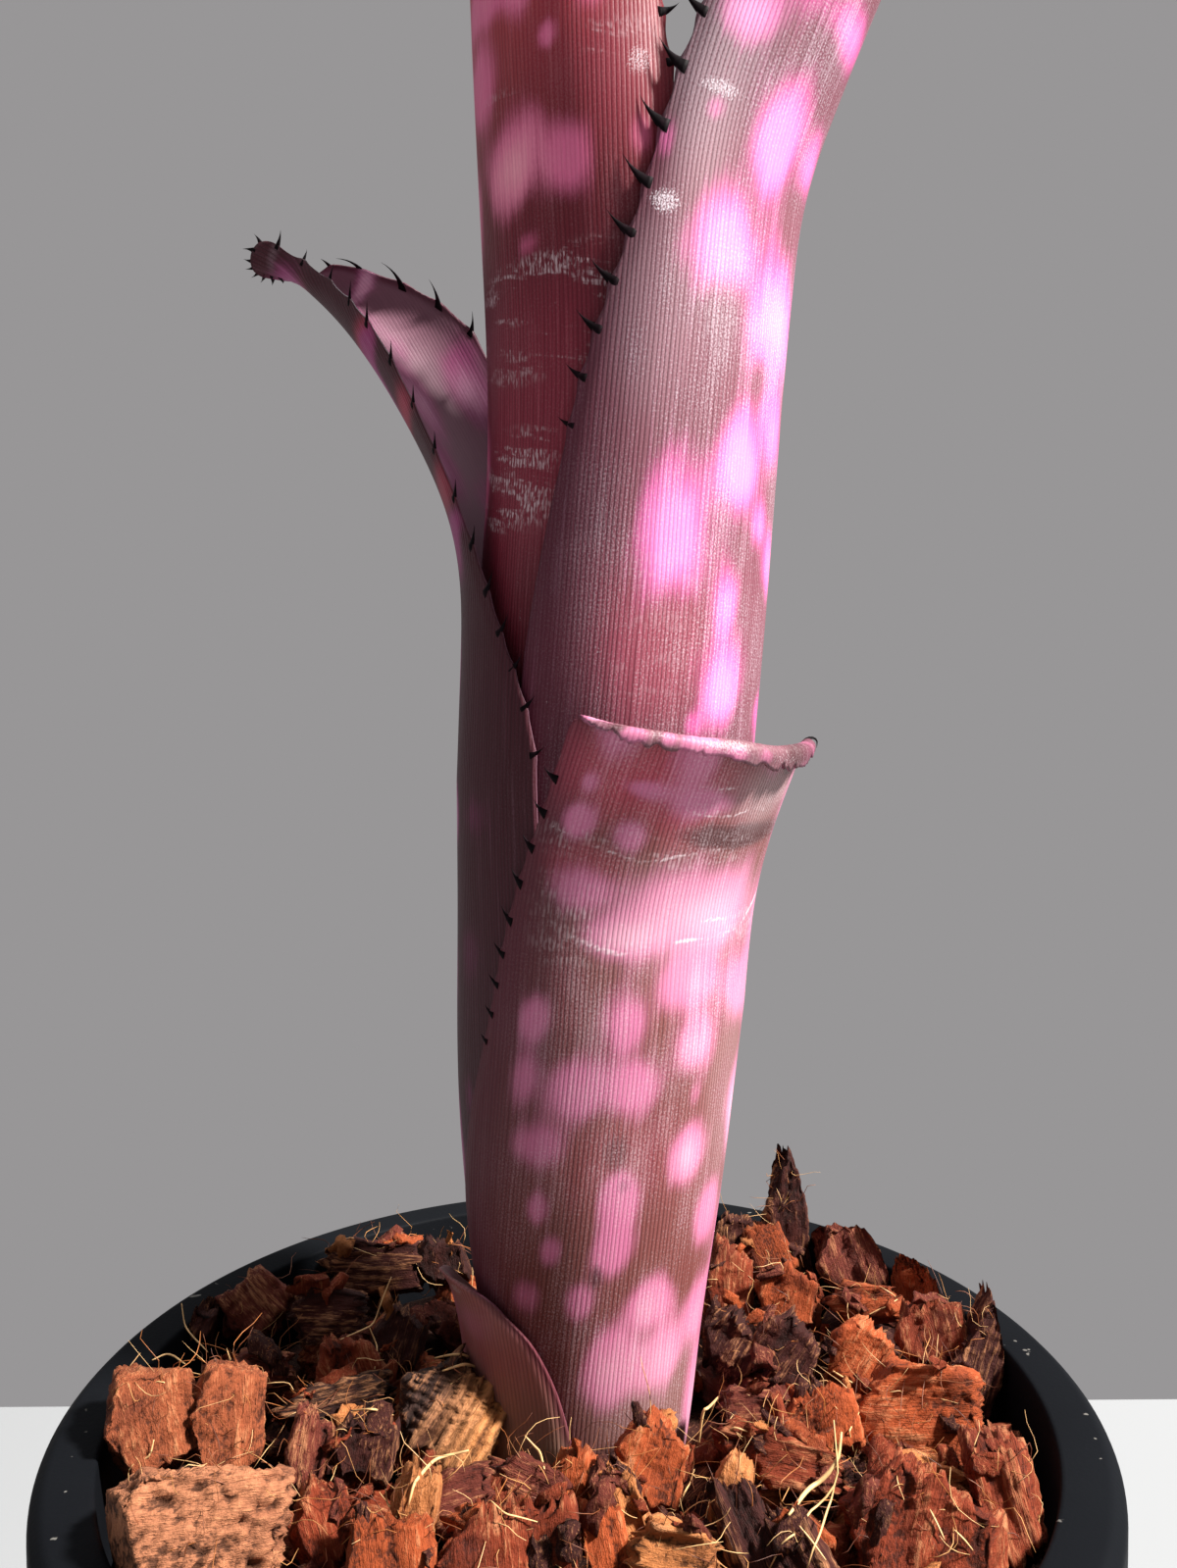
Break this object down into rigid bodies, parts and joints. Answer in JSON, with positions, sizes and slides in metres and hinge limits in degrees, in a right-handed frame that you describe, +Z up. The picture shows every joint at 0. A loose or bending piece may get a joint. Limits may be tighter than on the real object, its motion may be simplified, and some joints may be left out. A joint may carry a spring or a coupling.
{
  "type": "potted bromeliad",
  "caption": "Tall tube-shaped bromeliad with spotted, spiny-edged leaves, standing in husk chips in a round plastic nursery pot.",
  "frame": {"origin": "centre of the pot's foot, where it rests", "axes": "+Z up along the pot's axis, the front of the picture faces -Y"},
  "size_m": [0.1725, 0.15, 0.4099],
  "materials": {
    "pot_plastic": "satin black moulded plastic",
    "husk": "rough fibrous coconut husk",
    "stem": "dull brown plant stem",
    "leaf_young": "waxy ribbed leaf",
    "leaf_dark": "waxy ribbed dark red leaf with pink spots",
    "leaf_mauve": "waxy ribbed mauve leaf with pink spots and scurf",
    "leaf_shade": "waxy ribbed purple leaf",
    "leaf_rose": "waxy ribbed rose leaf with pink spots and silver bands",
    "bract_dry": "dull leaf, dry at the tip"
  },
  "bodies": {
    "root": {"pot": "pot_plastic", "husk_medium": "husk", "stem": "stem", "leaf_young_inner": "leaf_young", "leaf_tall_left": "leaf_dark", "leaf_tall_right": "leaf_mauve", "leaf_left_recurved": "leaf_shade", "leaf_front_short": "leaf_rose", "leaf_basal_bract": "bract_dry"}
  },
  "joints": []
}
